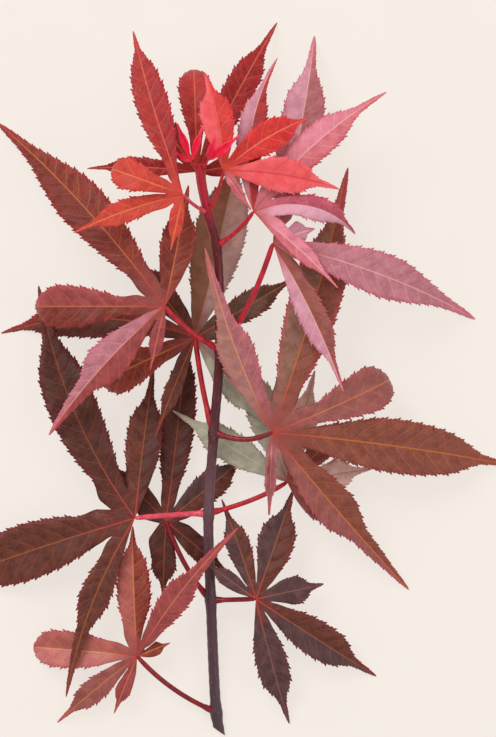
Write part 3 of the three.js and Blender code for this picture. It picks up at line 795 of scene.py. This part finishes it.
# %% [markdown]
# The midrib
#
# A lobe bends two ways at once: its heading swings round while its slope falls towards the tip, and a
# curled lobe keeps level until it hooks under near the end. So the midrib is walked in short steps,
# each with its own direction, which also gives what is left and what is up there.

# %% Midrib
WALK_STEPS = 400


def walk_midrib(fork, spec):
    share = np.linspace(0, 1, WALK_STEPS + 1)
    heading = np.radians(spec["heading"] + spec["turn"] * share)
    slope = np.radians(spec["slope"] + (spec["tip_slope"] - spec["slope"]) * share ** spec["hook"])
    roll = np.radians(spec["roll"] * share)[:, None]
    flat = np.cos(slope)
    along = np.column_stack([flat * np.cos(heading), flat * np.sin(heading), np.sin(slope)])
    level_left = np.column_stack([-np.sin(heading), np.cos(heading), np.zeros_like(heading)])
    left = level_left * np.cos(roll) + np.cross(along, level_left) * np.sin(roll)
    steps = along * spec["length"] / WALK_STEPS
    place = fork + np.vstack([np.zeros(3), np.cumsum(steps[:-1], axis=0)])
    return {"share": share, "place": place, "along": along, "left": left, "up": np.cross(along, left)}


def on_walk(walk, share):
    return {key: columns_at(share, walk["share"], walk[key]) for key in ("place", "along", "left", "up")}


# %% [markdown]
# The outline of a lobe
#
# A lobe is a lance: a straight wedge at its base, widest at its middle, then narrowing to a long thin
# tail, sooner on one lobe than on another. A lobe that curls under shows a rounded end instead,
# because its outline turns in before the bend. Next to another lobe it starts with the shared web,
# and the notch between the two opens from there as a sharp V.

# %% Outline of a lobe
WEB_SHARE = 0.15
LONGEST_WEB_SHARE = 0.22
LOBE_FREEDOM = 0.97
TAIL_NARROWING = 0.55
TAIL_WIDTH_SHARE = 0.6
TAIL_POWER = 0.6
CURLED_TAIL_SHARE = 0.5
NOTCH_REACH = 7.0
ROUND_END_SHARE = 1.15


def smooth(share):
    share = np.clip(share, 0, 1)
    return share * share * (3 - 2 * share)


def lance(share, spec):
    return share ** spec["base_power"] * (1 - share) ** spec["tip_power"]


def curl_of(walk):
    ahead = np.linalg.norm(walk["place"][:, :2] - walk["place"][0, :2], axis=1)
    return ahead, walk["share"][np.argmax(ahead)]


def half_width(share, spec, walk):
    widest = spec["base_power"] / (spec["base_power"] + spec["tip_power"])
    half = spec["width"] / 2 * lance(share, spec) / lance(widest, spec)
    tail = np.where(share > widest, spec["width"] / 2 * TAIL_WIDTH_SHARE * (1 - share) ** TAIL_POWER, 0)
    if spec["hook"] == 1:
        into_tail = smooth((share - spec["tail_start"]) / spec["tail_reach"])
        return np.maximum(half * (1 - TAIL_NARROWING * into_tail), tail)
    ahead, crest = curl_of(walk)
    end_radius = spec["width"] / 2 * ROUND_END_SHARE
    into_end = (np.interp(share, walk["share"], ahead) - ahead.max() + end_radius) / end_radius
    rounded = half * np.sqrt(1 - np.clip(into_end, 0, 1) ** 2)
    hidden = tail * CURLED_TAIL_SHARE
    return np.where(share < crest, np.maximum(rounded, hidden), hidden)


def room_beside(spec, neighbour, share):
    if neighbour is None:
        return np.full_like(share, np.inf)
    distance = share * spec["length"]
    own = spec["heading"] + spec["turn"] * share / 2
    other = neighbour["heading"] + neighbour["turn"] * distance / neighbour["length"] / 2
    room = LOBE_FREEDOM * distance * np.sin(np.radians(np.abs(own - other) / 2))
    return np.where(distance > neighbour["length"], np.inf, room)


# %% [markdown]
# Toothed margins
#
# The margin of this leaf is doubly toothed: a large tooth every 3.4 mm with two small ones on its back,
# all leaning towards the tip and shrinking where the lobe narrows. One cycle is nine steps of
# the margin, given as shares of the tooth's height, and the lobe's rows are spaced by distance along
# the margin, so every tooth has its own vertices, also round a curled end.

# %% Teeth
TOOTH_CYCLE = np.array([0.0, 0.3, 0.42, 0.14, 0.48, 0.64, 0.34, 0.7, 1.0])
TOOTH_PITCH = 3.4
TOOTH_HEIGHT = 0.95
TOOTH_HEIGHT_SHARE = 0.3
ROUND_END_TOOTH_SHARE = 0.12
TOOTH_LEAN = 0.7
TEETH_START = 3.0
TEETH_GROW_IN = 7.0
FEWEST_TEETH = 6
MARGIN_STEPS = 600


def toothed_rows(spec, walk, web_share):
    fine = np.linspace(web_share, 1, MARGIN_STEPS)
    half = half_width(fine, spec, walk)
    travelled = np.hypot(np.diff(fine) * spec["length"], np.diff(half))
    travelled = np.concatenate([[0], np.cumsum(travelled)])
    pitch = min(TOOTH_PITCH, travelled[-1] / FEWEST_TEETH)
    steps = max(1, round(travelled[-1] / pitch)) * len(TOOTH_CYCLE)
    wanted = np.linspace(0, travelled[-1], steps + 1)[1:]
    share = np.interp(wanted, travelled, fine)
    own_half = half_width(share, spec, walk)
    allowed = TOOTH_HEIGHT_SHARE * own_half
    if spec["hook"] > 1:
        at_end = ROUND_END_TOOTH_SHARE * spec["width"] / 2
        allowed = np.where(share < curl_of(walk)[1], np.maximum(allowed, at_end), allowed)
    height = np.resize(np.roll(TOOTH_CYCLE, -1), steps) * np.minimum(TOOTH_HEIGHT, allowed)
    height *= smooth((wanted - TEETH_START) / TEETH_GROW_IN)
    ahead = np.gradient(share * spec["length"])
    sideways = np.gradient(own_half)
    size = np.hypot(ahead, sideways)
    return share, own_half, height, ahead / size, sideways / size


# %% [markdown]
# One lobe
#
# A lobe is a grid: rows across the midrib, nine columns from margin to margin. Near the fork the rows
# are shared with the neighbouring lobes, which makes the palm of the leaf; beyond the web each lobe
# has its own margins. The two halves fold up from the midrib like a shallow book, roll over slightly
# at the margin, waver, and rise a little between side veins, as real blades do.

# %% One lobe of the blade
COLUMNS = np.array([-1, -0.82, -0.5, -0.22, 0, 0.22, 0.5, 0.82, 1])
OUTWARDS = np.abs(COLUMNS)
AT_MARGIN = OUTWARDS == 1
HALF_OF = np.where(COLUMNS < 0, 0, 1)
SIDE_OF = np.where(COLUMNS < 0, -1, 1)
PALM_RINGS = 6
VEIN_LEAN = 0.72
VEIN_BEND = 0.05
PUFF_SHARE = 0.05
WAVER_SHARE, WAVER_RATE, WAVER_SHIFT = 0.07, 0.5, 1.7
MARGIN_ROLL = 0.14
FOLD_AT_WEB, FOLD_GROW_IN = 0.2, 0.12


def palm_grid(walks, specs, index, web_shares):
    ring = np.linspace(0, 1, PALM_RINGS + 1)
    inner = on_walk(walks[index], web_shares[index] * ring)
    middle = inner["place"]
    edges, open_side = [], []
    for step in (-1, 1):
        other = index + step
        open_side.append(not 0 <= other < len(specs))
        if open_side[-1]:
            reach = half_width(web_shares[index], specs[index], walks[index]) * ring[:, None] * step
            edges.append(middle + inner["left"] * reach)
        else:
            edges.append((middle + on_walk(walks[other], web_shares[other] * ring)["place"]) / 2)
    spans = np.stack(edges, axis=1)[:, HALF_OF] - middle[:, None]
    outwards = np.tile(OUTWARDS * np.array(open_side)[HALF_OF], (len(ring), 1))
    rows = middle[:, None] + spans * OUTWARDS[:, None]
    return ring, rows, np.linalg.norm(spans, axis=2) * OUTWARDS, outwards


def lobe_grid(walks, specs, index, web_shares):
    spec, walk, web_share = specs[index], walks[index], web_shares[index]
    ring, palm, palm_across, palm_outwards = palm_grid(walks, specs, index, web_shares)
    share, half, tooth, ahead, sideways = toothed_rows(spec, walk, web_share)
    own = on_walk(walk, share)
    lengths = share * spec["length"]
    beyond = smooth((lengths - web_share * spec["length"]) / NOTCH_REACH)
    widths = []
    for other, web_half in zip((index - 1, index + 1), palm_across[-1][[0, -1]]):
        beside = specs[other] if 0 <= other < len(specs) else None
        extra = max(0.0, web_half - half_width(web_share, spec, walk))
        widths.append(np.minimum(half + extra * (1 - beyond), room_beside(spec, beside, share)))
    out = OUTWARDS * np.column_stack(widths)[:, HALF_OF]
    out += AT_MARGIN * (tooth * (ahead + TOOTH_LEAN * sideways))[:, None]
    forward = AT_MARGIN * (tooth * (TOOTH_LEAN * ahead - sideways))[:, None]

    fold_share = FOLD_AT_WEB + (1 - FOLD_AT_WEB) * smooth((share - web_share) / FOLD_GROW_IN)
    fold = (np.radians(spec["fold"]) * fold_share)[:, None]
    waver = (WAVER_SHARE * half * np.sin(lengths * WAVER_RATE + index * WAVER_SHIFT))[:, None]
    phase = (lengths[:, None] - VEIN_LEAN * out - VEIN_BEND * out * out) / SIDE_VEIN_PITCH
    puff = PUFF_SHARE * half[:, None] * np.sin(np.pi * OUTWARDS) * np.cos(2 * np.pi * phase)
    lift = out * np.sin(fold) - MARGIN_ROLL * out * OUTWARDS**3 + SIDE_OF * waver * COLUMNS**2 - puff
    rows = own["place"][:, None]
    for way, amount in (("left", SIDE_OF * out * np.cos(fold)), ("up", lift), ("along", forward)):
        rows = rows + own[way][:, None] * amount[..., None]
    reach = np.concatenate([web_share * ring, share])
    outwards = np.vstack([palm_outwards, OUTWARDS * beyond[:, None]])
    return np.vstack([palm, rows]), np.vstack([palm_across, out]), reach, outwards


# %% [markdown]
# The whole leaf
#
# The lobes' grids are set side by side, and vertices that fall together at the fork, along the shared
# web and at the tips are merged, which leaves one open sheet. Solidify gives the sheet its thickness,
# three tenths of a millimetre, downwards, and the underside its own material.

# %% Blades
BLADE_THICKNESS = 0.3
TABLE_CLEARANCE = 0.05
MERGE_DISTANCE = 0.004
LEAST_EDGE = 0.001
CORNERS = ((0, 0), (1, 0), (1, 1), (0, 1))


def vein_corner(across, length, side):
    bent = length - VEIN_LEAN * across - VEIN_BEND * across * across
    return side * across / CM_TO_MM, (bent + side * SIDE_VEIN_PITCH / 4) / CM_TO_MM


def blade_sheet(leaf):
    specs = leaf["lobes"]
    walks = [walk_midrib(leaf["fork"], spec) for spec in specs]
    mean_length = np.mean([spec["length"] for spec in specs])
    web_shares = [min(LONGEST_WEB_SHARE, WEB_SHARE * mean_length / spec["length"]) for spec in specs]
    tints = sorted({spec[side] for spec in specs for side in ("left", "right")})
    vertices, faces, slots, vein_uv, reach_uv = [], [], [], [], []
    width = len(COLUMNS)
    for index, spec in enumerate(specs):
        rows, across, reach, outwards = lobe_grid(walks, specs, index, web_shares)
        length = reach * spec["length"]
        first = len(vertices)
        vertices.extend(rows.reshape(-1, 3))
        for r in range(len(rows) - 1):
            for c in range(width - 1):
                side = -1 if c < width // 2 else 1
                faces.append([first + (r + dr) * width + c + dc for dr, dc in CORNERS])
                # each half takes its own tint, which carries that half's painted sky reflection or painted
                # shade
                slots.append(tints.index(spec["right"] if side < 0 else spec["left"]))
                for dr, dc in CORNERS:
                    vein_uv.append(vein_corner(across[r + dr][c + dc], length[r + dr], side))
                    reach_uv.append((reach[r + dr], outwards[r + dr][c + dc]))
    return np.array(vertices), faces, slots, tints, vein_uv, reach_uv


def blade_mesh(name, leaf):
    points, faces, slots, tints, vein_uv, reach_uv = blade_sheet(leaf)
    points[:, 2] = np.maximum(points[:, 2], BLADE_THICKNESS + TABLE_CLEARANCE)
    mesh = bpy.data.meshes.new(name)
    mesh.from_pydata([tuple(p) for p in points], [], faces)
    for tint in tints:
        mesh.materials.append(tissues[tint])
    mesh.materials.append(UNDERSIDES[leaf["slot"]])
    mesh.polygons.foreach_set("material_index", slots)
    for uv_map, corners in (("veins", vein_uv), ("reach", reach_uv)):
        layer = mesh.uv_layers.new(name=uv_map)
        layer.data.foreach_set("uv", np.array(corners, np.float32).ravel())
    sheet = bmesh.new()
    sheet.from_mesh(mesh)
    bmesh.ops.remove_doubles(sheet, verts=sheet.verts, dist=MERGE_DISTANCE)
    bmesh.ops.dissolve_degenerate(sheet, edges=sheet.edges, dist=LEAST_EDGE)
    sheet.to_mesh(mesh)
    sheet.free()
    holder = new_object(name + "_sheet", mesh)
    solid = holder.modifiers.new("thickness", "SOLIDIFY")
    solid.thickness = BLADE_THICKNESS
    solid.offset = -1
    solid.material_offset = len(tints)
    return plain_mesh(holder)


# %% [markdown]
# Stalks
#
# Each stalk grows out of the stem at a node, swollen at its foot, swings out in one soft curve and
# thins towards the fork. It is the limb tree again, with the leaf's own line. Blade and stalk
# become one piece.

# %% Stalks
STALK_FOOT_SWELLING = 1.4
STALK_FOOT_REACH = 2.4
STALK_SINK = 0.9
STALK_BEND_SHARE = np.array([0.6, 0.35, 0.3])
STALK_STEPS = 70
STALK_SIDES = 14
FROM_FORK, GIRTH_THERE = (0, 0.25, 1.0, 3.0), (0.3, 0.62, 0.85, 1.0)


def stalk_mesh(name, leaf):
    foot = NODES[leaf["pair"] - 1]
    fork = leaf["fork"]
    bend = np.array(leaf["bend"] or foot + (fork - foot) * STALK_BEND_SHARE)
    t = np.linspace(0, 1, STALK_STEPS)[:, None]
    points = (1 - t) ** 2 * foot + 2 * t * (1 - t) * bend + t**2 * fork
    to_stem = np.min(np.linalg.norm(points[:, None] - stem_points[None], axis=2) - stem_radii, axis=1)
    from_skin = to_stem[to_stem > -STALK_SINK]
    points = points[to_stem > -STALK_SINK]
    to_fork = np.linalg.norm(points - fork, axis=1)
    swollen = smooth(1 - np.maximum(from_skin, 0) / STALK_FOOT_REACH)
    radii = leaf["stalk"] * (1 + (STALK_FOOT_SWELLING - 1) * swollen)
    radii *= np.interp(to_fork, FROM_FORK, GIRTH_THERE)
    return limb_mesh(name, points, radii, STALK_SIDES, STALKS[leaf["skin"]])


def joined(name, meshes):
    holders = [new_object(f"{name}_{k}", mesh) for k, mesh in enumerate(meshes)]
    chosen = {"active_object": holders[0], "selected_editable_objects": holders, "selected_objects": holders}
    with bpy.context.temp_override(**chosen):
        bpy.ops.object.join()
    mesh = holders[0].data
    bpy.data.objects.remove(holders[0])
    return mesh


total = 0
for leaf_name, leaf in LEAVES.items():
    parts = [blade_mesh(leaf_name + "_blade", leaf), stalk_mesh(leaf_name + "_stalk", leaf)]
    piece = place_piece("maple_" + leaf_name, joined(leaf_name, parts), leaf_name)
    total += sum(len(p.vertices) - 2 for p in piece.data.polygons)
print("leaf triangles:", total)

# %% [markdown]
# Table, light and camera
#
# The shoot lies on a pale light table, seen from straight above through a long lens, which gives the
# photograph's flat view of it. The frame covers 0.28 mm of table a pixel.
# Light is a wide overcast sky with a little more from the upper left, and the table's own glow lifts
# the shadows, so that the ground behind the leaves stays pale and even.

# %% Table, light and camera
PIXEL = 0.28
PHOTO_WIDTH, PHOTO_HEIGHT = 496, 737
CUT_PIXEL = (219, 731)
CAMERA_HEIGHT = 2400.0
SENSOR_HEIGHT = 24.0
TABLE_HALF = 1.5
TABLE_GLOW_HEX, TABLE_GLOW = "#F2EBE4", 0.82
SKY_HEX, SKY_STRENGTH = "#F6F1EA", 0.72


def lay_table():
    mesh = bpy.data.meshes.new("table")
    turns = ((-1, -1), (1, -1), (1, 1), (-1, 1))
    mesh.from_pydata([(x * TABLE_HALF, y * TABLE_HALF, 0) for x, y in turns], [], [(0, 1, 2, 3)])
    panel = speckled("light_table_panel", "#726D67", "#706B65", 25.0, 0.75)
    glow = {"Emission Color": linear(TABLE_GLOW_HEX), "Emission Strength": TABLE_GLOW}
    feed(panel.node_tree, panel.node_tree.nodes["Principled BSDF"], glow)
    mesh.materials.append(panel)
    new_object("table", mesh)


def soft_light(name, place, energy, size):
    data = bpy.data.lights.new(name, "AREA")
    data.energy = energy
    data.size = size
    light = new_object(name, data)
    light.location = place
    light.rotation_euler = (-Vector(place)).to_track_quat("-Z", "Y").to_euler()


lay_table()
soft_light("sky_upper_left", (-0.5, 0.7, 1.1), 8.5, 0.7)
soft_light("sky_right", (0.9, -0.2, 0.9), 2.5, 0.8)
world = bpy.data.worlds.new("overcast")
world.use_nodes = True
sky = {"Color": linear(SKY_HEX), "Strength": SKY_STRENGTH}
feed(world.node_tree, world.node_tree.nodes["Background"], sky)
scene.world = world
scene.view_settings.view_transform = "Standard"

aim_x = ((PHOTO_WIDTH / 2 - CUT_PIXEL[0]) * PIXEL + CUT_PLACE.x) * MM
aim_y = ((CUT_PIXEL[1] - PHOTO_HEIGHT / 2) * PIXEL + CUT_PLACE.y) * MM
camera_data = bpy.data.cameras.new("overhead")
camera_data.sensor_fit = "VERTICAL"
camera_data.sensor_height = SENSOR_HEIGHT
camera_data.lens = SENSOR_HEIGHT * CAMERA_HEIGHT / (PHOTO_HEIGHT * PIXEL)
camera = new_object("overhead", camera_data)
camera.location = (aim_x, aim_y, CAMERA_HEIGHT * MM)
scene.camera = camera
print("camera over, mm:", round(aim_x / MM, 1), round(aim_y / MM, 1), "lens", round(camera_data.lens, 1))
